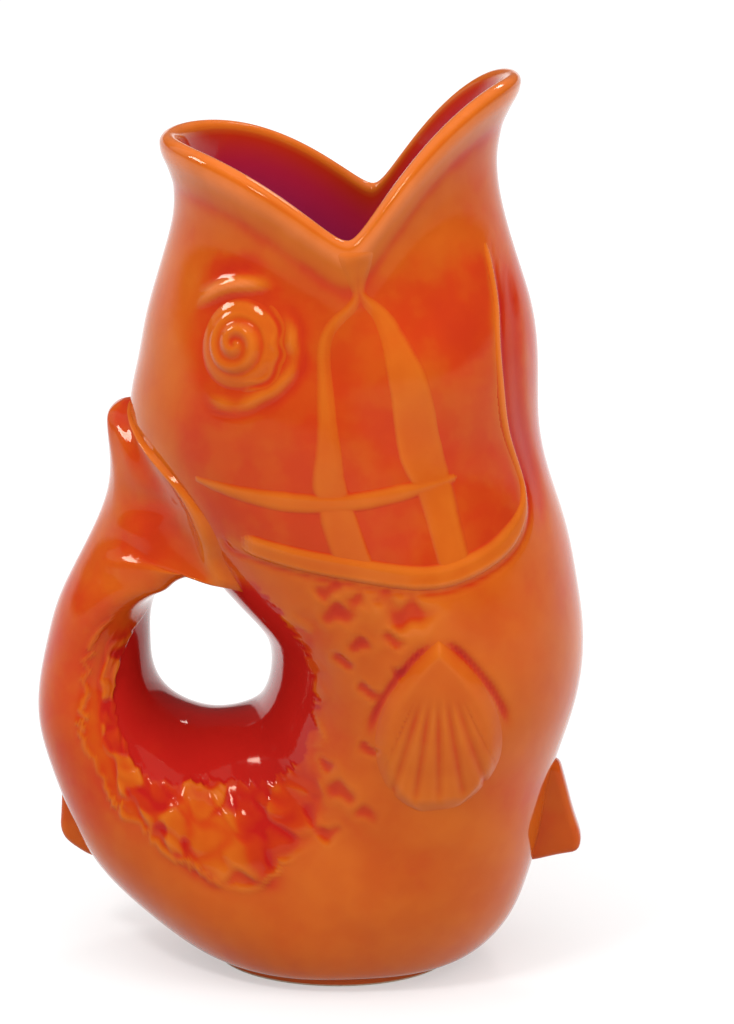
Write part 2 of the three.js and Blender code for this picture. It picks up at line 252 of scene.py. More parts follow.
def running(steps):
    return np.concatenate([[0], np.cumsum(steps)])


def run_along(points):
    """Distance along a line of points from the first of them to each."""
    return running(length(np.diff(points, axis=0)))


def natural_spline(knots):
    """A function through the knots, one unit apart, with steady curvature."""
    count = len(knots)
    system = np.eye(count)
    right = np.zeros_like(knots)
    for i in range(1, count - 1):
        system[i, i - 1:i + 2] = 1, 4, 1
        right[i] = 6 * (knots[i - 1] - 2 * knots[i] + knots[i + 1])
    bend = np.linalg.solve(system, right)

    def at(t):
        i = np.clip(np.asarray(t).astype(int), 0, count - 2)
        f = (t - i)[..., None]
        g = 1 - f
        return g * knots[i] + f * knots[i + 1] + ((g ** 3 - g) * bend[i] + (f ** 3 - f) * bend[i + 1]) / 6

    return at


# The skin
sections = natural_spline(STATIONS)


def rim_height(angle):
    """Height of the mouth's edge: two lips that meet in a V at each corner."""
    x = LIP_REACH * np.cos(angle)
    spout = x > CORNER_X
    tip_x = np.where(spout, LIP_REACH, -LIP_REACH)
    tip = np.where(spout, SPOUT_HEIGHT, BACK_LIP_HEIGHT)
    bow = np.where(spout, SPOUT_BOW, BACK_LIP_BOW)

    def run(along):
        return np.hypot(along - CORNER_X, CORNER_RADIUS) - CORNER_RADIUS

    return CORNER_HEIGHT + (tip - CORNER_HEIGHT) * (1 - (1 - run(x) / run(tip_x)) ** bow)


HEAD = np.linspace(0, GILLS, 200)
HEAD_HEIGHTS = sections(HEAD)[:, 1]


def mouth_station(station, angle, drop=0.0):
    """Station of the head at a share of the way from the mouth's edge to the gills."""
    gills = HEAD_HEIGHTS[-1]
    height = np.interp(station, HEAD, HEAD_HEIGHTS)
    share = (height - gills) / (SPOUT_HEIGHT - gills)
    below = np.interp(gills + share * (rim_height(angle) - drop - gills), HEAD_HEIGHTS[::-1], HEAD[::-1])
    return np.where(station < GILLS, below, station)


def skin(station, angle, offset=0.0):
    station, angle = np.broadcast_arrays(np.asarray(station, float), np.asarray(angle, float))
    section = sections(station)
    belly, back, wide, wrap = section[..., 0:2], section[..., 2:4], section[..., 4], section[..., 5]
    depth = (rim_height(angle) - belly[..., 1]) / LIP_DEPTH
    flare = np.where(station < GILLS, LIP_FLARE * np.exp(-depth * depth), 0)
    half = length(belly - back) / 2
    y = (wide + flare + offset) * np.sin(angle)
    out = (half + flare + offset) * np.cos(angle) - wrap * y * y
    point = (belly + back) / 2 + (belly - back) * (out / (2 * half))[..., None]
    underside = FOOT_HEIGHT + max(0, -offset * FLOOR / WALL)
    over = point[..., 1] - underside
    z = underside + (over + np.sqrt(over * over + FOOT_BLEND ** 2)) / 2
    return np.stack([point[..., 0], y, np.where(station < GILLS, point[..., 1], z)], -1)


def facing(points, wrapped):
    """Outward unit normals of a grid whose rows go along the fish and whose columns go round it."""
    along = np.gradient(points, axis=0)
    if wrapped:
        across = np.roll(points, -1, axis=1) - np.roll(points, 1, axis=1)
    else:
        across = np.gradient(points, axis=1)
    normals = unit(np.cross(along, across))
    widest = np.unravel_index(np.argmax(abs(points[..., 1])), points.shape[:2])
    return normals * np.sign(normals[widest][1] * points[widest][1])


class Line:
    """A path on the skin's left side, from which distances are measured to one side or the other."""

    def __init__(self, path, pace=0.8):
        knots = np.array([place[:2] for place in path], float)
        self.widths = np.array([place[2] if len(place) > 2 else 1 for place in path], float)
        curve = natural_spline(knots)
        rough = curve(np.linspace(0, len(knots) - 1, 40))
        places = skin(rough[:, 0], np.radians(rough[:, 1]))
        fine = curve(np.linspace(0, len(knots) - 1, int(run_along(places)[-1] / pace)))
        self.low, self.high = fine.min(0), fine.max(0)
        self.points = skin(fine[:, 0], np.radians(fine[:, 1]))
        tangent = unit(np.gradient(self.points, axis=0))
        nudge = 1e-3
        du = skin(fine[:, 0] + nudge, np.radians(fine[:, 1])) - self.points
        da = skin(fine[:, 0], np.radians(fine[:, 1]) + nudge) - self.points
        self.side = unit(np.cross(np.cross(du, da), tangent))

    def measure(self, station, degrees, points):
        """Signed distance from the path, and the share of the way along it."""
        distance = np.full(station.shape, FAR)
        share = np.zeros(station.shape)
        close = (station > self.low[0] - 0.7) & (station < self.high[0] + 0.7)
        close &= (degrees > self.low[1] - 14) & (degrees < self.high[1] + 14)
        if close.any():
            gap = points[close][:, None, :] - self.points[None]
            reach = length(gap)
            nearest = reach.argmin(1)
            row = np.arange(len(nearest))
            side = np.sign((gap[row, nearest] * self.side[nearest]).sum(-1))
            distance[close] = reach[row, nearest] * side
            share[close] = nearest / (len(self.points) - 1)
        return distance, share

    def half_width(self, share):
        return np.interp(share, np.linspace(0, 1, len(self.widths)), self.widths)


GILL = Line(GILL_PATH)
BACK_STRUT = Line(CHEEK_BACK_STRUT)
FRONT_STRUT = Line(CHEEK_FRONT_STRUT)
BAND = Line(CHEEK_BAND)
ZIGZAG = Line(ZIGZAG_PATH)


def spot(station, degrees):
    return skin(station, np.radians(degrees))


# Fan of the pectoral fin: distances along it from its root and to one side
FAN_ROOT = spot(*PECTORAL_ROOT)
FAN_LENGTH = length(spot(*PECTORAL_TIP) - FAN_ROOT)
FAN_AXIS = (spot(*PECTORAL_TIP) - FAN_ROOT) / FAN_LENGTH
FAN_SIDE = np.cross(FAN_AXIS, np.array((0, 1, 0)))
FAN_SIDE /= length(FAN_SIDE)
FAN_WIDEST = 0.62


def fan(points):
    """Share of the way down the fan, distance to one side, and distance outside its outline."""
    gap = points - FAN_ROOT
    share = (gap @ FAN_AXIS) / FAN_LENGTH
    side = gap @ FAN_SIDE
    upper = np.sin(np.pi / 2 * np.clip(share / FAN_WIDEST, 0, 1)) ** 0.85
    lower = np.sqrt(np.clip(1 - ((share - FAN_WIDEST) / (1 - FAN_WIDEST)) ** 2, 0, 1))
    half = PECTORAL_HALF * np.where(share < FAN_WIDEST, upper, lower)
    beyond = np.where(share > 1, (share - 1) * FAN_LENGTH, np.where(share < 0, -share * FAN_LENGTH, -FAR))
    return share, side, np.maximum(abs(side) - half, beyond)


def wobble(seed_a, seed_b):
    """A steady random number from 0 to 1 for a pair of whole numbers."""
    return np.modf(abs(np.sin(seed_a * 12.9898 + seed_b * 78.233) * 43758.5453))[0]


FLANK = np.linspace(0, APEX, 600)
FLANK_RUN = run_along(spot(FLANK, 130.0))


def flank_run(station):
    return np.interp(station, FLANK, FLANK_RUN)


def lumps(station, degrees):
    """Height of irregular scales that a thick glaze has run over, each higher towards the tail."""
    along = flank_run(station) / LUMP_LENGTH
    across = degrees / LUMP_ANGLE + 0.15 * np.sin(4 * along)
    along = along + 0.2 * np.sin(3 * across)
    nearest = np.full(station.shape, 9.0)
    second = nearest.copy()
    own = np.zeros(station.shape)
    for i_step in (-1, 0, 1):
        for j_step in (-1, 0, 1):
            i, j = np.floor(along) + i_step, np.floor(across) + j_step
            ahead = along - i - 0.5 - 0.7 * (wobble(i, j) - 0.5)
            beside = across - j - 0.5 - 0.7 * (wobble(i + 17, j) - 0.5)
            away = np.hypot(ahead, beside)
            own = np.where(away < nearest, 0.35 + 0.65 * wobble(i, j + 29) + 0.5 * ahead, own)
            second = np.minimum(second, np.maximum(nearest, away))
            nearest = np.minimum(nearest, away)
    return LUMP_RISE * own * ramp(second - nearest, 0, 0.55)


def edge_angle(table, station):
    """Angle at a station by a table, or more than half a turn beyond its ends."""
    return np.interp(station, table[:, 0], table[:, 1], 185, 185)


def funnel(station, degrees):
    """Degrees inside the ragged edge of the finger hole's smooth funnel, on each side of the tail."""
    run = flank_run(station) / 5.5
    run = run + 0.35 * np.sin(1.9 * run) + 0.2 * np.sin(4.3 * run + degrees / 6)
    tooth = abs(run - np.floor(run) - 0.5) * (0.3 + 1.1 * wobble(np.floor(run), 3))
    return degrees - edge_angle(FUNNEL, station) - 7 * (tooth - 0.25)


def ring(station, degrees):
    """Where the lumps lie: a broad band below and behind the finger hole, a narrow one before it."""
    run = flank_run(station)
    edge = edge_angle(CRATER, station)
    edge = edge + 2.4 * np.sin(run / 2.6 + 1.5 * np.sin(run / 6)) + 1.4 * np.sin(run / 1.3)
    ends = window(station, 5.6, 6.3, 15.3, 16.1)
    return ramp(degrees, edge - 2, edge + 2) * ends * (0.5 + 0.5 * ramp(station, 9.6, 10.6))


def islands(points):
    """Where islands stand up between pools of glaze, from 0 to 1."""
    x, z = points[..., 0], points[..., 2]
    stray = 1.2 * np.sin(z / 2.1 + 1.5 * np.sin(x / 2.9)) + 0.8 * np.sin(x / 1.7 + z / 2.6)
    field = np.sin((x + stray) / 4.4 + 0.9 * np.sin(z / 6.5))
    field = field * np.sin((z - stray) / 5.1 + 0.8 * np.sin(x / 7.3))
    away = length(points - spot(*BIG_ISLAND)) + 0.8 * stray
    field = np.maximum(field + 0.4 * np.sin((x + z + 2 * stray) / 3.3), 1 - away / BIG_ISLAND_REACH)
    return ramp(field, -0.15, 0.3)


def unevenness(points):
    """The slow waves of a hand-worked surface."""
    x, y, z = points[..., 0], points[..., 1], points[..., 2]
    slow = 0.16 * np.sin(x / 7 + 0.6 * np.sin(z / 13)) * np.sin(z / 9 + y / 17)
    return slow + 0.12 * np.sin(z / 5 + x / 11)


def on_left(points):
    """The points, with those on the right side mirrored to the left."""
    return np.abs(points) * (0, 1, 0) + points * (1, 0, 1)


def rough_relief(station, degrees, left):
    """The rough ground round the finger hole, and the frayed crest along its edge."""
    within = ramp(funnel(station, degrees), -1.5, 1.5)
    lumpy = ring(station, degrees) * (1 - within)
    ground = lumpy * (ROUGH_RISE + ISLAND_RISE * islands(left) + lumps(station, degrees))
    distance, share = ZIGZAG.measure(station, degrees, left)
    teeth = share * ZIGZAG_TEETH + 0.9 * np.sin(share * 17) + 0.45 * np.sin(share * 43)
    tooth = 2 * abs(np.modf(teeth)[0] - 0.5) * (0.3 + 1.7 * wobble(np.floor(teeth), 5))
    distance = distance + ZIGZAG_REACH * tooth - 1.2 + 1.1 * np.sin(share * 37)
    crest = ZIGZAG_RISE * (0.75 + 0.25 * np.sin(share * 31))
    return ground + crest * bell(distance, ZIGZAG_WIDTH) * window(share, 0, 0.1, 0.85, 1)


def pit_relief(left):
    """Ragged pits on the flank, each with a faint rim."""
    ragged = left + 0.9 * np.sin(left[..., [2, 0, 0]] / (1.3, 1.7, 1.1))
    height = np.zeros(left.shape[:-1])
    for station, angle, radius, depth in PITS:
        away = length((ragged - spot(station, angle)) * PIT_STRETCH)
        height -= PIT_SINK * depth * (1 - ramp(away, 0.5 * radius, 1.5 * radius))
        height += PIT_RIM * depth * bell(away - 1.75 * radius, 0.4 * radius)
    return height


def gill_relief(station, degrees, left):
    """A groove along the gill cover's edge, and the hollow of the throat before it."""
    distance, share = GILL.measure(station, degrees, left)
    groove = ridge(distance, *GILL_GROOVE) * (1 - ramp(share, 0.86, 1))
    hollow = window(distance, 0.5, 2.5, 8, 15)
    return groove - THROAT_DEPTH * hollow * window(share, 0.45, 0.6, 0.9, 1)


def crescent_relief(station, degrees, left):
    """A groove round the upper half of the pectoral fin."""
    share, _, outside = fan(left)
    beside = (station > 6) & (station < 9.4) & (degrees > 40) & (degrees < 112)
    crescent = ridge(outside, *FAN_CRESCENT) * window(share, 0, 0.08, 0.4, 0.6)
    return np.where(beside, crescent, 0)


def around_eye(points):
    """Distances from the eye's middle forward, up and straight, and the turn round it."""
    gap = points - spot(EYE["station"], EYE["angle"])
    x, z = gap[..., 0], gap[..., 2]
    return x, z, length(gap), np.arctan2(z, x)


def eye_relief(left):
    """Frayed folds before and below the eye, and the brow above it."""
    x, z, reach, turn = around_eye(left)
    front = ramp(0.75 * x - 0.66 * z, 1, 10)
    frayed = reach + 0.7 * np.sin(4.3 * turn + 0.8 * np.sin(6.1 * turn)) + 0.25 * np.sin(9.7 * turn + 2)
    petals = 0.65 + 0.35 * np.sin(5.3 * turn + 1.3 * np.sin(3.7 * turn))
    folds = front * (petals * ridge(frayed, *EYE_FOLD) + ridge(frayed, *EYE_MOAT))
    return folds + ridge(reach, *BROW) * ramp(0.95 * z - 0.3 * x, 11, 15)


def body_relief(station, angle, points):
    """Height of the body's own relief above its plain skin."""
    degrees = np.degrees(abs(angle))
    left = on_left(points)
    height = unevenness(points) * window(station, 1.2, 2.2, 16.4, 17)
    below = rim_height(angle) - points[..., 2]
    lip = 1 - ramp(station, 2.0, 2.4)
    height = height + lip * (ridge(below, *LIP_BEAD) + ridge(below, *LIP_GROOVE))
    height = height + rough_relief(station, degrees, left) + pit_relief(left)
    height = height + gill_relief(station, degrees, left) + crescent_relief(station, degrees, left)
    return height + eye_relief(left)


def glaze_and_painted_light_zones(station, angle, points):
    """Painted light and shade on the glaze, with some of its own pooling: paler above 0 and darker below 0,
    apart from the relief.
    """
    degrees = np.degrees(abs(angle))
    left = on_left(points)
    within = ramp(funnel(station, degrees), -1, 1.5) * window(station, 5.5, 5.8, 15.8, 16.3)
    distance, share = GILL.measure(station, degrees, left)
    ahead = ramp(distance, 0.5, 2.5) * (distance < NEAR) * ramp(share, 0.5, 0.65)
    throat = np.where(degrees < THROAT_ANGLE, 1, ahead)
    rough = ring(station, degrees) * (1 - within)
    pooled = window(station, 9.2, 9.6, 10.8, 11.1)
    zones = {
        # painted reflection: paler on the flared lip below the mouth's edge
        "lip": (0.42, (1 - ramp(rim_height(angle) - points[..., 2], 9, 15)) * (station < 3)),
        # painted reflection: paler on the back of the head
        "nape": (0.2, ramp(degrees, 132, 142) * window(station, 1.3, 1.7, 4.2, 4.8)),
        # painted dark reflection: darker on the cheek panels
        "panel": (-0.25, ramp(-distance, 0.5, 3) * ramp(station, 1.3, 1.7) * (1 - ramp(degrees, 126, 138))),
        # painted dark reflection: darker on the throat before the gill's edge
        "throat": (-0.32, throat * window(station, 1.4, 2.0, 4.4, 5.3)),
        # painted reflection of the floor: paler on the lower belly
        "belly": (0.1, window(station, 6, 7, 11, 12) * (1 - ramp(degrees, 95, 120))),
        # painted shade and dark reflection: darker on the tail
        "tail": (-0.15, window(station, 12.6, 13.6, 16.5, FLUKE) * (1 - within)),
        # darker ground and paler islands round the finger hole: partly the glaze pooling between lumps,
        # partly painted reflection and shade
        "rough": (-0.5, rough),
        "pool": (-0.2, rough * pooled),
        "island": (0.45, rough * islands(left) * (1 - 0.85 * pooled)),
        # painted shade and dark reflection, with glaze pooled there: darkest in the funnel into the finger
        # hole
        "funnel": (-0.85, within),
    }
    return sum(paler_by * zone for paler_by, zone in zones.values())


def fin_angle(station, angle):
    """Angles of the fin's columns, so that they lie evenly across it."""
    turn = abs(angle)
    share = np.where(turn < np.pi / 2, turn, np.pi - turn) / (np.pi / 2)
    even = np.arcsin(np.clip(share, 0, 1))
    even = np.where(turn < np.pi / 2, even, np.pi - even)
    grown = ramp(station, 17.3, 18.4)
    return np.sign(angle) * ((1 - grown) * turn + grown * even)


def fin_lay(station, angle, height):
    """Height of the fin above the head: a thick middle, a thin side with a rolled hem, and a flat seat."""
    outer = np.cos(angle) > 0
    share = np.where(outer, abs(np.sin(angle)), 1)
    leaf = 0.45 + 0.55 * bell(station - 18.9, 0.75) + 0.5 * bell(station - 20.6, 0.6)
    side = FIN_SIDE + leaf * ridge(share, *FIN_HEM) + (FIN_SEAT - FIN_SIDE) * ramp(share, 0.96, 1)
    near = (1 - ramp(height, 3, 14)) * ramp(station, FLUKE + 0.05, FLUKE + 0.6)
    near = np.maximum(near, ramp(station, 18.2, 19.4))
    pull = near * np.where(outer, ramp(share, 0.3, 0.8), 1)
    laid = (1 - pull) * height + pull * np.where(outer, side, FIN_SEAT)
    laid = laid + ridge(share, *FIN_FOLD) * ramp(station, 18.8, 19.8) * outer
    beyond = np.clip((station - FIN_TOP) / (APEX - FIN_TOP), 0, 1)
    laid = np.where(laid > 0, laid * np.sqrt(1 - beyond ** 2), laid)
    return np.maximum(laid, FIN_SEAT)


def fin_tongue(station, angle, points):
    """How far the fin's lower corners reach round the head and down, in a tongue on each side."""
    share = abs(np.sin(angle))
    reach = bell(station - TONGUE_STATION, 0.22) * ramp(share, 0.45, 0.95)
    lift = bell(station - 17.4, 0.3) * ramp(station, FLUKE, FLUKE + 0.3) * ramp(share, 0.4, 0.9)
    forward, out, up = TONGUE
    return np.stack([
        forward * reach, out * np.sign(points[..., 1]) * reach, up * reach + TONGUE_LIFT * lift,
    ], -1)


def fin_zones(station, angle):
    """The fin's glaze tone: a painted highlight on its hem, with the glaze thin there, and painted dark
    reflection on its sides, with the glaze thicker there.
    """
    share = np.where(np.cos(angle) > 0, abs(np.sin(angle)), 1)
    grown = ramp(station, FLUKE + 0.3, 18.2)
    return grown * (ridge(share, *FIN_HEM_HIGHLIGHT) + ridge(share, *FIN_SIDE_DARK_REFLECTION))


# Meshes
def faced_out(points, faces):
    """The faces, turned so that the volume they close is positive."""
    volume = 0
    for count in (3, 4):
        corners = np.array([face for face in faces if len(face) == count], int).reshape(-1, count)
        for k in range(1, count - 1):
            a, b, c = (points[corners[:, i]] for i in (0, k, k + 1))
            volume += (a * np.cross(b, c)).sum()
    return faces if volume > 0 else [face[::-1] for face in faces]


def new_object(name, data):
    obj = bpy.data.objects.new(name, data)
    bpy.context.collection.objects.link(obj)
    return obj


def piece(name, node, points, faces, material, normals=None, glaze=None):
    """A mesh that stands for a CAD node. glaze is how much paler, above 0, or darker, below 0, its glaze is
    made: partly the glaze's own breaking and pooling, partly painted reflection, highlight and shade.
    """
    faces = faced_out(points, faces)
    mesh = bpy.data.meshes.new(name)
    mesh.from_pydata((points * MM + (FOOT_X, 0, 0)).tolist(), [], faces)
    mesh.validate()
    mesh.update()
    # the tone attribute holds painted reflection, highlight and shade along with the glaze's breaking and
    # pooling
    tone_and_painted_light = mesh.attributes.new("tone_and_painted_light", "FLOAT", "POINT")
    tone_and_painted_light.data.foreach_set("value", np.zeros(len(points)) if glaze is None else np.clip(glaze, -1, 1))
    mesh.materials.append(material)
    mesh.shade_smooth()
    if normals is not None:
        mesh.normals_split_custom_set_from_vertices(normals.tolist())
    obj = new_object(name, mesh)
    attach(obj, "root")
    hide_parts(node)
    return obj


def band_faces(rows, columns, closed=False):
    """Faces between rows of points that go round the fish. A closed band joins its last row to its first."""
    i, j = np.meshgrid(np.arange(rows if closed else rows - 1), np.arange(columns), indexing="ij")
    this, after, k = i * columns, (i + 1) % rows * columns, (j + 1) % columns
    return np.stack([this + j, this + k, after + k, after + j], -1).reshape(-1, 4).tolist()


def capped(grid):
    """Points and faces of a tube whose ends are closed by fans of faces."""
    rows, columns = grid.shape[:2]
    points = np.concatenate([grid.reshape(-1, 3), [grid[0].mean(0), grid[-1].mean(0)]])
    j = np.arange(columns)
    k = (j + 1) % columns
    last = (rows - 1) * columns
    hub = np.full(columns, rows * columns)
    faces = band_faces(rows, columns) + np.stack([k, j, hub], -1).tolist()
    return points, faces + np.stack([last + j, last + k, hub + 1], -1).tolist()


def vertex_normals(points, faces):
    mesh = bpy.data.meshes.new("normals")
    mesh.from_pydata(points.tolist(), [], faced_out(points, faces))
    normals = np.zeros(len(points) * 3)
    mesh.vertex_normals.foreach_get("vector", normals)
    bpy.data.meshes.remove(mesh)
    return normals.reshape(-1, 3)


def detail(height, reach):
    """How far a height stands above or below its surroundings."""
    mean = height
    for axis in (0, 1):
        mean = sum(np.roll(mean, shift, axis) for shift in range(-reach, reach + 1)) / (2 * reach + 1)
    return height - mean


def column_angles():
    """Angles round the fish, closer together on its flanks and back than on its belly."""
    turn = np.linspace(-np.pi, np.pi, 4001)
    density = 1 + ramp(abs(turn), math.radians(12), math.radians(26))
    run = running((density[1:] + density[:-1]) / 2)
    return np.interp((np.arange(COLUMNS) + 0.5) / COLUMNS, run / run[-1], turn)


def row_stations(start, end, count):
    """Stations at an even pace along the flank."""
    fine = np.linspace(start, end, 800)
    weight = 1 + 0.7 * ramp(fine, 9.2, 9.8)
    places = skin(mouth_station(fine, FLANK_ANGLE), FLANK_ANGLE)
    run = running(length(np.diff(places, axis=0)) * weight[1:])
    return np.interp(np.linspace(0, run[-1], count + 1), run, fine)


def seated(points, station, angle):
    """Points of the tail's fin, laid on the head by moving them to or from the middle of its sections."""
    trial = np.linspace(2, 9, 281)
    section = sections(trial)
    axis = unit(section[:, 0:2] - section[:, 2:4])
    flat = points.reshape(-1, 3)
    place = flat[:, [0, 2]]
    gap = place[:, None] - (section[:, 0:2] + section[:, 2:4])[None] / 2
    off = gap[..., 0] * axis[None, :, 1] - gap[..., 1] * axis[None, :, 0]
    row = np.arange(len(flat))
    first = np.clip(abs(off).argmin(1), 1, len(trial) - 2)
    second = np.where(off[row, first] * off[row, first + 1] < 0, first + 1, first - 1)
    part = np.clip(off[row, first] / (off[row, first] - off[row, second]), 0, 1)
    exact = sections(trial[first] + part * (trial[second] - trial[first]))
    belly, back = exact[:, 0:2], exact[:, 2:4]
    middle = (belly + back) / 2
    half = length(belly - back) / 2
    out = ((place - middle) * unit(belly - back)).sum(1)
    scale = np.hypot(out / half, flat[:, 1] / exact[:, 4])
    reach = np.hypot(out, flat[:, 1]) / scale
    laid = fin_lay(station.ravel(), angle.ravel(), (scale - 1) * reach)
    factor = ((1 + laid / reach) / scale)[:, None]
    moved = middle + (place - middle) * factor
    return np.stack([moved[:, 0], flat[:, 1] * factor[:, 0], moved[:, 1]], -1).reshape(points.shape)


def whole_skin():
    """Angles, points, normals and glaze tone of the fish's outside, from the mouth to the tail fin's tip, the
    tone holding painted light and shade.
    """
    stations = np.concatenate([
        row_stations(0, ROOT, BODY_ROWS),
        row_stations(ROOT, FLUKE, TAIL_ROWS)[1:],
        row_stations(FLUKE, APEX, FIN_ROWS)[1:],
    ])
    station, angle = np.meshgrid(stations, column_angles(), indexing="ij")
    angle = np.where(station > FLUKE, fin_angle(station, angle), angle)
    below = mouth_station(station, angle, LIP_ROUND)
    plain = skin(below, angle)
    up = facing(plain, True)
    height = np.where(station < FLUKE, body_relief(below, angle, plain), 0)
    points = plain + up * height[..., None]
    fin = stations >= FLUKE
    points[fin] += fin_tongue(station[fin], angle[fin], points[fin])
    points[fin] = seated(points[fin], station[fin], angle[fin])
    normals = facing(points, True)
    zones = np.where(station < FLUKE, glaze_and_painted_light_zones(below, angle, plain), fin_zones(station, angle))
    # tone: paler where the relief stands up and darker where it sinks, as glaze breaks and pools and as
    # painted highlight and shade, plus the painted zones
    return angle, points, normals, detail(height, 5) + zones


def mouth_roll(top, below, inner):
    """Rows of the rounded lip, over the edge from the outside to the inside."""
    up = unit(top - below)
    middle, half = (top + inner) / 2, (top - inner) / 2
    rise = length(half)[..., None]
    return np.stack([middle + half * math.cos(t) + up * rise * math.sin(t) for t in ROLL_TURNS])


def build_body(angle, points, normals, tone_and_painted_light, glaze, inside_glaze):
    outer = points[: BODY_ROWS + 1]
    inner_stations = row_stations(0, ROOT, INNER_ROWS)
    station, turn = np.meshgrid(inner_stations, angle[0], indexing="ij")
    inner = skin(mouth_station(station, turn, LIP_ROUND), turn, -WALL)
    roll = mouth_roll(outer[0], outer[1], inner[0])
    grid = np.concatenate([outer[::-1], roll, inner])
    flat = grid.reshape(-1, 3)
    faces = band_faces(len(grid), COLUMNS, closed=True)
    smooth = vertex_normals(flat, faces)
    kept = (BODY_ROWS - 1) * COLUMNS
    smooth[:kept] = normals[2: BODY_ROWS + 1][::-1].reshape(-1, 3)
    pale = np.concatenate([
        tone_and_painted_light[: BODY_ROWS + 1][::-1].ravel(),
        # painted highlight along the top of the lip, with its glaze thinned there
        np.repeat(ROLL_GLAZE * np.sin(ROLL_TURNS), COLUMNS),
        np.zeros(inner[..., 0].size),
    ])
    obj = piece("body_shell_glazed", "body_shell", flat, faces, glaze, smooth, pale)
    obj.data.materials.append(inside_glaze)
    deep = (rim_height(turn) - inner[..., 2]).ravel()
    deep = np.concatenate([np.zeros(len(flat) - len(deep)), deep])
    depth = obj.data.attributes.new("depth", "FLOAT", "POINT")
    depth.data.foreach_set("value", np.clip(deep * MM, 0, 1))
    first_inner = (len(outer) + len(roll) - 1) * COLUMNS
    index = np.zeros(len(obj.data.polygons), int)
    index[first_inner:] = 1
    obj.data.polygons.foreach_set("material_index", index)


def build_tail(angle, points, normals, tone_and_painted_light, glaze):
    rows = slice(BODY_ROWS, BODY_ROWS + TAIL_ROWS + 1)
    station, turn = np.meshgrid(np.linspace(BORE_END, ROOT, BORE_ROWS), angle[0], indexing="ij")
    bore = skin(station, turn, -WALL)
    flat, faces = capped(np.concatenate([bore, points[rows]]))
    smooth = vertex_normals(flat, faces)
    smooth[station.size: -2] = normals[rows].reshape(-1, 3)
    pale = np.concatenate([np.zeros(station.size), tone_and_painted_light[rows].ravel(), (0, 0)])
    piece("tail_handle_glazed", "tail_handle", flat, faces, glaze, smooth, pale)


def build_tail_fin(points, normals, tone_and_painted_light, glaze):
    first = BODY_ROWS + TAIL_ROWS
    flat, faces = capped(points[first:])
    smooth = vertex_normals(flat, faces)
    smooth[:COLUMNS] = normals[first]
    pale = np.concatenate([tone_and_painted_light[first:].ravel(), (0, 0)])
    piece("tail_fin_glazed", "tail_fin", flat, faces, glaze, smooth, pale)


# Applied pieces
def no_corners(keep):
    """Cells to keep, so that no two of them meet at a corner alone."""
    while True:
        a, b, c, d = keep[:-1, :-1], keep[:-1, 1:], keep[1:, :-1], keep[1:, 1:]
        rising = a & d & ~b & ~c
        falling = b & c & ~a & ~d
        if not (rising.any() or falling.any()):
            return keep
        keep[:-1, 1:] |= rising
        keep[:-1, :-1] |= falling


def cells(grid):
    """The values at the four corners of each cell of a grid."""
    return np.stack([grid[:-1, :-1], grid[1:, :-1], grid[1:, 1:], grid[:-1, 1:]], -1)


def sprig(name, side, stations, degrees, height_of, paler_by, material):
    """A closed piece of clay pressed on one side of the fish, wherever its height is above the skin."""
    tall = run_along(spot(np.linspace(*stations, 30), np.mean(degrees)))[-1]
    wide = run_along(spot(np.mean(stations), np.linspace(*degrees, 30)))[-1]
    rows = np.linspace(*stations, int(tall / SPRIG_STEP))
    turns = np.radians(np.linspace(*degrees, int(wide / SPRIG_STEP)))
    station, angle = np.meshgrid(rows, turns, indexing="ij")
    plain = skin(station, angle)
    up = facing(plain, False)
    height = height_of(station, np.degrees(angle), plain)
    base = body_relief(station, angle, plain)
    top = plain + up * (base + np.maximum(height, -FEATHER))[..., None]
    seat = plain + up * (base - SEAT)[..., None]
    keep = no_corners(cells(height).max(-1) > -FEATHER)
    count = height.size
    quads = cells(np.arange(count).reshape(height.shape))
    faces = [quads[keep], quads[keep][:, ::-1] + count]
    wider = np.pad(keep, 1)
    for row, column, first, second in ((-1, 0, 3, 0), (1, 0, 1, 2), (0, -1, 0, 1), (0, 1, 2, 3)):
        beyond = wider[1 + row: wider.shape[0] - 1 + row, 1 + column: wider.shape[1] - 1 + column]
        edge = quads[keep & ~beyond]
        a, b = edge[:, first], edge[:, second]
        faces.append(np.stack([b, a, a + count, b + count], -1))
    faces = np.concatenate(faces)
    points = np.concatenate([top.reshape(-1, 3), seat.reshape(-1, 3)])
    used = np.unique(faces)
    renumber = np.zeros(2 * count, int)
    renumber[used] = np.arange(len(used))
    # paler on the raised piece and darker in its creases: painted reflection and highlight, with the glaze
    # breaking and pooling
    level = ramp(height, 0, 0.4)
    tone = (1 - level) * glaze_and_painted_light_zones(station, angle, plain) + level * paler_by
    tone = tone + detail(height, 4) / SPRIG_SOFTNESS
    tone_and_painted_light = np.concatenate([tone.ravel(), np.zeros(count)])[used]
    points = points[used] * (1, side, 1)
    faces = renumber[faces].tolist()
    word = "left" if side > 0 else "right"
    piece(f"{word}_{name}_glazed", f"{word}_{name}", points, faces, material, None, tone_and_painted_light)


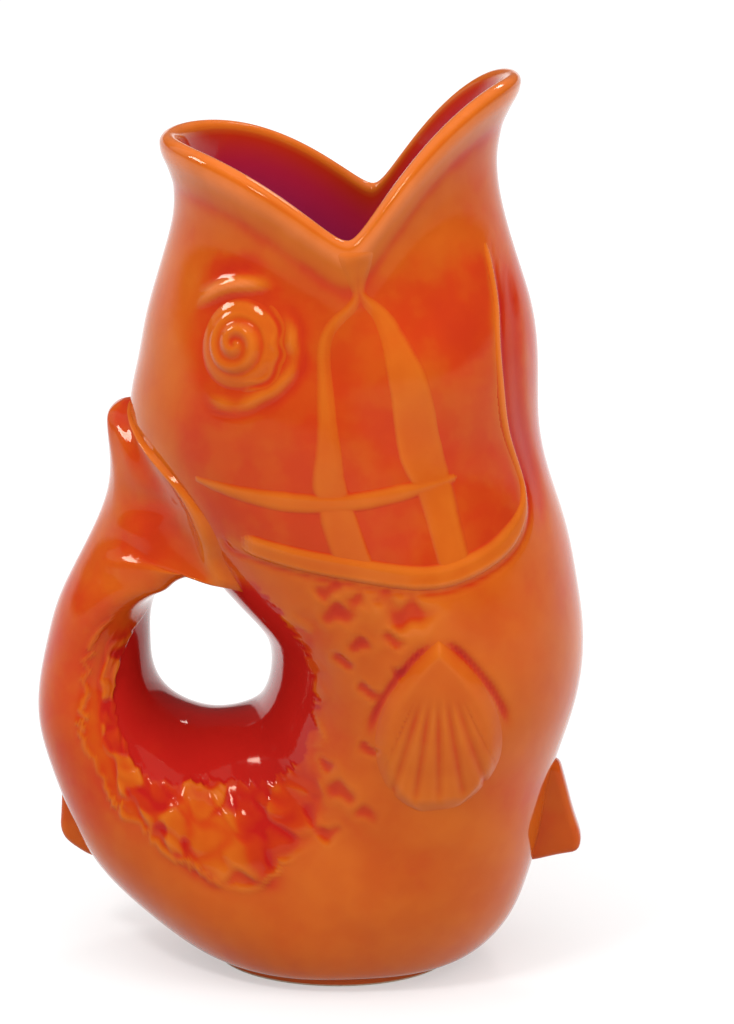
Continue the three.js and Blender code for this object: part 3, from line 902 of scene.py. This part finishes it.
def eye_height(station, degrees, points):
    """A mound with a raised spiral, and ragged lids in front."""
    x, z, reach, turn = around_eye(points)
    share = np.clip(reach / EYE["radius"], 0, 1.2)
    mound = (EYE["rise"] + FEATHER) * (1 - ramp(share, 0.15, 1.0)) - 1.001 * FEATHER
    mound = mound - 0.2 * ramp(share, 1, 1.1)
    spiral = np.cos(2 * np.pi * reach / EYE["coil"] + turn)
    coiled = ramp(reach, 0, 1.5) * (1 - ramp(reach / EYE["coil"], EYE["coils"] - 0.3, EYE["coils"]))
    ragged = reach + 0.6 * np.sin(4.3 * turn + 1) + 0.4 * np.sin(8.9 * turn + 1.2 * np.sin(3.1 * turn))
    front = ramp(x - 0.3 * z, 3, 9)
    lids = front * sum(ridge(ragged, *lid) for lid in EYE_LIDS)
    return mound + EYE["lift"] * spiral * coiled + ridge(reach, *EYE_RING) + lids


def gill_height(station, degrees, points):
    """The edge of the gill cover, steep below and soft above, that goes on up the throat as a fine bead."""
    distance, share = GILL.measure(station, degrees, points)
    throat = ramp(share, 0.42, 0.6)
    above = 7 - 4.8 * throat
    flat = 3 * (1 - throat)
    steep = 2.2 - 0.3 * throat
    fall = np.where(distance > 0, ramp(distance, 0, steep), ramp(-distance, flat, above))
    ends = window(share, 0, 0.03, 0.97, 1)
    return (GILL_RISE + 2 * FEATHER) * (1 - fall) * ends - 2 * FEATHER


CHEEK_BEADS = [
    # path, rise, and how far from its middle a fine ridge runs, in half widths, or 0 for none
    (BACK_STRUT, 0.3, -0.85),
    (FRONT_STRUT, 0.3, 0.85),
    (BAND, 0.45, 0),
]


def cheek_height(station, degrees, points):
    """Two flat struts below the mouth's corner, and the band across the cheek that they cross."""
    within, beyond = CHEEK_EDGE
    height = np.full(station.shape, -2 * FEATHER)
    for line, rise, bead in CHEEK_BEADS:
        distance, share = line.measure(station, degrees, points)
        half = line.half_width(share)
        across = distance / half
        ends = window(share, 0, 0.03, 0.98 if bead else 0.95, 1)
        own = (rise + 2 * FEATHER) * (1 - ramp(abs(across), 1 - within / half, 1 + beyond / half))
        if bead:
            own = own + ridge((across - bead) * half, *CHEEK_RIDGE) * ramp(share, 0.1, 0.2)
        height = np.maximum(height, own * ends - 2 * FEATHER)
    return height


def pectoral_height(station, degrees, points):
    """A fan of ribs with a scalloped edge."""
    share, side, outside = fan(points)
    turn = np.degrees(np.arctan2(side, np.maximum(share, 1e-3) * FAN_LENGTH))
    pitch = PECTORAL_SPREAD / (PECTORAL_GROOVES + 1)
    off_groove = (turn + PECTORAL_SPREAD / 2) / pitch
    off_groove = abs(off_groove - np.round(off_groove)) * np.radians(pitch) * share * FAN_LENGTH
    grooved = window(share, 0.28, 0.45, 0.84, 0.97) * (abs(turn) < PECTORAL_GROOVED)
    inside = np.minimum(-outside, (1 - share) * FAN_LENGTH)
    mound = (PECTORAL_RISE + 2 * FEATHER) * ramp(inside, -1.4, 5.5) - 2 * FEATHER
    mound = mound - 3 * FEATHER * (1 - ramp(inside, -3, -1.4))
    return mound + ridge(off_groove, *FAN_GROOVE) * grooved * ramp(inside, 0, 2.5)


# Fins in the plane of symmetry, and the foot
def smooth_outline(corners):
    """Points round a closed outline whose corners are eased."""
    corners = np.array(corners, float)
    for _ in range(3):
        after = np.roll(corners, -1, axis=0)
        corners = np.stack([0.8 * corners + 0.2 * after, 0.2 * corners + 0.8 * after], 1).reshape(-1, 2)
    loop = np.concatenate([corners, corners[:1]])
    run = run_along(loop)
    at = np.linspace(0, run[-1], int(run[-1] / OUTLINE_STEP), endpoint=False)
    return np.stack([np.interp(at, run, loop[:, k]) for k in range(2)], -1)


def build_middle_fin(name, corners, material):
    """A fin with a rounded edge and slightly domed sides."""
    outline = smooth_outline(corners)
    tangent = unit(np.roll(outline, -1, axis=0) - np.roll(outline, 1, axis=0))
    inward = np.stack([-tangent[:, 1], tangent[:, 0]], -1)
    inward *= np.sign((inward * (outline.mean(0) - outline)).sum())
    flat = FIN_THICKNESS / 2 - FIN_EDGE
    rows = []
    for turn in np.linspace(-np.pi / 2, np.pi / 2, 13):
        rim = outline + inward * FIN_EDGE * (1 - math.cos(turn))
        y = FIN_EDGE * math.sin(turn) + flat * np.sign(turn) * min(1, abs(turn) / 0.3)
        rows.append(np.insert(rim, 1, y, axis=1))
    centre = np.insert(outline.mean(0), 1, 0)
    for share in (0.8, 0.55, 0.25):
        for end in (0, -1):
            edge = rows[end]
            inner = centre + (edge * (1, 0, 1) - centre) * share
            inner[:, 1] = edge[:, 1] + math.copysign(FIN_DOME * (1 - share), edge[0, 1])
            rows = rows + [inner] if end else [inner] + rows
    points, faces = capped(np.stack(rows))
    piece(f"{name}_glazed", name, points, faces, material)


def build_foot(material):
    """An unglazed ring with rounded edges, sunk a little into the belly."""
    turns = np.linspace(0, 2 * np.pi, 120, endpoint=False)
    half = [(0, 3.5), (0, 0.8), (0.3, 0.25), (0.9, 0)]
    profile = half + [(FOOT_RING_WIDTH - inset, z) for inset, z in reversed(half)]
    rows = []
    for inset, z in profile:
        x = (FOOT_LENGTH / 2 - inset) * np.cos(turns)
        y = (FOOT_WIDTH / 2 - inset) * np.sin(turns)
        rows.append(np.stack([x, y, np.full_like(x, z)], -1))
    faces = band_faces(len(rows), len(turns), closed=True)
    piece("foot_ring_bisque", "foot_ring", np.concatenate(rows), faces, material)


# Materials
# Glaze colours from darkest to palest: the dark end is pooled glaze and painted shade, the pale end thinned
# glaze and painted reflection and highlight
POOLED_AND_SHADED = (0.44, 0.012, 0.008)
RED = (0.51, 0.04, 0.006)
ORANGE = (0.53, 0.084, 0.007)
THIN_AND_LIT = (0.57, 0.12, 0.01)
PALE_EDGE_AND_HIGHLIGHT = (0.7, 0.18, 0.045)
GLAZE_STOPS = [(0.12, POOLED_AND_SHADED), (0.36, RED), (0.5, ORANGE), (0.68, THIN_AND_LIT), (1.0, PALE_EDGE_AND_HIGHLIGHT)]
GLAZE_IOR = 1.27  # lower than a real glaze's, so that the edges mirror less of the white ground
GLAZE_ROUGHNESS = (0.04, 0.1)
PATCHES = [(36.0, 0.12, 0.07), (115.0, 0.14, 0.05)]  # scale, softness, change of the glaze
INSIDE_STOPS = [
    (0.0, THIN_AND_LIT), (0.12, (0.46, 0.022, 0.006)), (0.35, (0.42, 0.014, 0.042)), (1.0, (0.4, 0.022, 0.135)),
]
INSIDE_DEPTH = 0.032  # metres below the mouth's edge at which the last of them is reached
BISQUE_STOPS = [(0.3, (0.6, 0.45, 0.3)), (0.7, (0.76, 0.62, 0.45))]
GLAZE_LINE = (0.0006, 0.0009)  # heights between which the foot's bare clay turns into glaze


def add_node(tree, kind, inputs=(), **settings):
    """Outputs of a new shader node. Each of its inputs is a socket to link or a plain value."""
    made = tree.nodes.new("ShaderNode" + kind)
    for key, value in settings.items():
        setattr(made, key, value)
    for key, value in dict(inputs).items():
        if isinstance(value, bpy.types.NodeSocket):
            tree.links.new(value, made.inputs[key])
        else:
            made.inputs[key].default_value = value
    return made.outputs


def object_coords(tree):
    return add_node(tree, "TexCoord")["Object"]


def noise(tree, coords, scale, detailed, **more):
    return add_node(tree, "TexNoise", {"Vector": coords, "Scale": scale, "Detail": detailed, **more})["Fac"]


def bump(tree, height, strength, distance, **more):
    inputs = {"Height": height, "Strength": strength, "Distance": distance, **more}
    return add_node(tree, "Bump", inputs)["Normal"]


def map_range(tree, value, source, target=(0, 1), kind="LINEAR"):
    inputs = dict(zip(("From Min", "From Max", "To Min", "To Max"), (*source, *target)), Value=value)
    return add_node(tree, "MapRange", inputs, interpolation_type=kind)["Result"]


def calculate(tree, operation, first, second):
    return add_node(tree, "Math", {0: first, 1: second}, operation=operation)[0]


def colour_ramp(tree, factor, stops):
    colour = add_node(tree, "ValToRGB", {"Fac": factor})["Color"]
    elements = colour.node.color_ramp.elements
    while len(elements) < len(stops):
        elements.new(0.5)
    for element, (position, shade) in zip(elements, stops):
        element.position = position
        element.color = (*shade, 1)
    return colour


def new_material(name):
    material = bpy.data.materials.new(name)
    material.use_nodes = True
    tree = material.node_tree
    return material, tree, tree.nodes["Principled BSDF"]


def glaze_surface(tree, shader):
    """Gloss of the glaze: slight ripples, fine pits and a reflection that the colour warms."""
    coords = object_coords(tree)
    ripple = noise(tree, coords, 120.0, 2.0)
    pits = noise(tree, coords, 900.0, 1.0)
    tree.links.new(map_range(tree, ripple, (0, 1), GLAZE_ROUGHNESS), shader.inputs["Roughness"])
    swell = bump(tree, ripple, 0.12, 0.0006)
    tree.links.new(bump(tree, pits, 0.04, 0.0002, Normal=swell), shader.inputs["Normal"])
    shader.inputs["IOR"].default_value = GLAZE_IOR
    shader.inputs["Specular Tint"].default_value = (1.0, 0.8, 0.6, 1)
    return coords


def mottled(tree, coords, colour, amount):
    """The colour with cloudy light and dark, as a thick glaze has."""
    cloud = noise(tree, coords, 28.0, 4.0, Roughness=0.55)
    light = map_range(tree, cloud, (0.25, 0.75), (1 - amount, 1 + amount))
    return add_node(tree, "VectorMath", {0: colour, 1: light}, operation="MULTIPLY")["Vector"]


def glaze_material(name):
    material, tree, shader = new_material(name)
    coords = glaze_surface(tree, shader)
    # painted reflection, highlight and shade come into the colour here, with the glaze's own breaking and
    # pooling
    tone_and_painted_light = add_node(tree, "Attribute", attribute_name="tone_and_painted_light")["Fac"]
    for scale, soft, change in PATCHES:
        patch = noise(tree, coords, scale, 3.0, Roughness=0.5)
        shift = map_range(tree, patch, (0.5 - soft, 0.5 + soft), (-change, change), "SMOOTHSTEP")
        tone_and_painted_light = calculate(tree, "ADD", tone_and_painted_light, shift)
    colour = colour_ramp(tree, map_range(tree, tone_and_painted_light, (-1, 1)), GLAZE_STOPS)
    tree.links.new(mottled(tree, coords, colour, 0.08), shader.inputs["Base Color"])
    return material


def inside_material():
    material, tree, shader = new_material("plum_inside_glaze")
    coords = glaze_surface(tree, shader)
    depth = add_node(tree, "Attribute", attribute_name="depth")["Fac"]
    colour = colour_ramp(tree, map_range(tree, depth, (0, INSIDE_DEPTH)), INSIDE_STOPS)
    tree.links.new(mottled(tree, coords, colour, 0.06), shader.inputs["Base Color"])
    return material


def bisque_material():
    material, tree, shader = new_material("pale_bisque")
    coords = object_coords(tree)
    grain = noise(tree, coords, 700.0, 3.0)
    clay = colour_ramp(tree, grain, BISQUE_STOPS)
    glazed = map_range(tree, add_node(tree, "SeparateXYZ", {0: coords})["Z"], GLAZE_LINE)
    inputs = {"Factor": glazed, "A": clay, "B": (*ORANGE, 1)}
    colour = add_node(tree, "Mix", inputs, data_type="RGBA")["Result"]
    tree.links.new(colour, shader.inputs["Base Color"])
    tree.links.new(bump(tree, grain, 0.3, 0.0003), shader.inputs["Normal"])
    shader.inputs["Roughness"].default_value = 0.85
    return material


# Studio
AIM = Vector((FOOT_X, 0, 0.13))
GROUND_REACH = 8
GROUND_GLOW = ((0.3, 1.2), (0.45, 0.62))  # distances in metres, and how bright the ground looks there
SKY_TILT = (0.0, -0.05, 1)
SKY_STOPS = [(0.0, (1, 1, 1)), (0.03, (1, 1, 1)), (0.09, (0.1, 0.1, 0.1))]
SKY_LIGHT = (0.75, 0.75, 0.75, 1)
LAMPS = [
    # name, azimuth, elevation, distance, size, radiance, whether it shows in the gloss, whether it lights
    ("key_softbox", -10, 45, 1.5, (2.0, 1.6), 0.22, False, True),
    ("front_fill", 40, 22, 1.7, (2.2, 1.4), 0.7, False, True),
    ("top_softbox", 0, 76, 1.6, (1.8, 1.1), 1.1, True, True),
    ("bright_softbox", -30, 50, 1.5, (0.29, 0.18), 42, True, True),
    ("back_softbox", 160, 45, 1.5, (0.35, 0.2), 14, True, True),
    ("spout_fill", 80, 30, 1.5, (1.0, 1.0), 1.0, False, True),
    ("side_softbox", -112, 35, 1.5, (1.1, 1.2), 0.55, True, True),
    ("brow_softbox", -95, 34, 1.5, (0.4, 0.36), 28, True, False),
]


def build_floor():
    """A pale floor that looks white from afar and keeps the jug's shadow."""
    mesh = bpy.data.meshes.new("floor")
    corners = [(-1, -1, 0), (1, -1, 0), (1, 1, 0), (-1, 1, 0)]
    mesh.from_pydata([Vector(corner) * GROUND_REACH for corner in corners], [], [(0, 1, 2, 3)])
    floor = new_object("floor", mesh)
    material, tree, _ = new_material("white_floor")
    tree.nodes.clear()
    path = add_node(tree, "LightPath")
    seen = calculate(tree, "MAXIMUM", path["Is Camera Ray"], path["Is Glossy Ray"])
    seen = calculate(tree, "MAXIMUM", seen, path["Is Transmission Ray"])
    away = add_node(tree, "VectorMath", {0: object_coords(tree)}, operation="LENGTH")["Value"]
    glow = calculate(tree, "MULTIPLY", seen, map_range(tree, away, *GROUND_GLOW))
    emission = add_node(tree, "Emission", {"Strength": glow})[0]
    diffuse = add_node(tree, "BsdfDiffuse", {"Color": (0.52, 0.52, 0.52, 1)})[0]
    both = add_node(tree, "AddShader", {0: emission, 1: diffuse})[0]
    add_node(tree, "OutputMaterial", {"Surface": both})
    mesh.materials.append(material)


def aimed(name, data, azimuth, elevation, distance):
    """A lamp or camera that faces the jug. Azimuth 0 is the photograph's side and 90 is the spout's."""
    a, e = math.radians(azimuth), math.radians(elevation)
    away = Vector((math.sin(a) * math.cos(e), -math.cos(a) * math.cos(e), math.sin(e)))
    obj = new_object(name, data)
    obj.location = AIM + away * distance
    obj.rotation_euler = away.to_track_quat("Z", "Y").to_euler()
    return obj


def softbox(name, azimuth, elevation, distance, size, radiance, seen, lights):
    lamp = bpy.data.lights.new(name, "AREA")
    lamp.shape = "RECTANGLE"
    lamp.size, lamp.size_y = size
    lamp.energy = radiance * math.pi * size[0] * size[1]
    obj = aimed(name, lamp, azimuth, elevation, distance)
    obj.visible_glossy = seen
    obj.visible_diffuse = lights
    obj.visible_camera = False


def build_world():
    """Pale at the horizon and dim above, so that the glaze mirrors the softboxes and the floor."""
    world = bpy.data.worlds.new("studio")
    bpy.context.scene.world = world
    world.use_nodes = True
    tree = world.node_tree
    coords = add_node(tree, "TexCoord")["Generated"]
    tilt = add_node(tree, "VectorMath", {0: coords, 1: SKY_TILT}, operation="DOT_PRODUCT")["Value"]
    sky = colour_ramp(tree, tilt, SKY_STOPS)
    diffuse = add_node(tree, "LightPath")["Is Diffuse Ray"]
    colour = add_node(tree, "Mix", {"Factor": diffuse, "A": sky, "B": SKY_LIGHT}, data_type="RGBA")["Result"]
    tree.links.new(colour, tree.nodes["Background"].inputs["Color"])


def build_camera():
    """The photograph's view: from the fish's right side, a little to the front and from above."""
    camera = bpy.data.cameras.new("camera")
    camera.sensor_width = 36
    camera.lens = 122.7
    camera.shift_x, camera.shift_y = 0.0322, 0.0132
    camera.clip_end = 50
    bpy.context.scene.camera = aimed("camera", camera, azimuth=4.7, elevation=15, distance=1.0)


GLAZE = glaze_material("red_orange_glaze")
RAISED = glaze_material("raised_red_orange_glaze")
angle, points, normals, tone_and_painted_light = whole_skin()
build_body(angle, points, normals, tone_and_painted_light, GLAZE, inside_material())
build_tail(angle, points, normals, tone_and_painted_light, GLAZE)
build_tail_fin(points, normals, tone_and_painted_light, GLAZE)
# the number before each material is how much paler the raised piece is painted: painted reflection, with the
# glaze thinning on it
for side in (1, -1):
    sprig("eye", side, (1.5, 3.3), (92, 142), eye_height, 0.1, RAISED)
    sprig("gill_rim", side, (1.1, 5.9), (20, 132), gill_height, 0.22, RAISED)
    sprig("cheek_frame", side, (1.25, 5.6), (40, 134), cheek_height, 0.2, RAISED)
    sprig("pectoral_fin", side, (6.1, 9.5), (44, 108), pectoral_height, 0.15, RAISED)
build_middle_fin("ventral_fin", VENTRAL_FIN, GLAZE)
build_middle_fin("anal_fin", ANAL_FIN, GLAZE)
build_foot(bisque_material())

build_floor()
for lamp in LAMPS:
    softbox(*lamp)
build_world()
build_camera()
bpy.context.scene.view_settings.view_transform = "Standard"
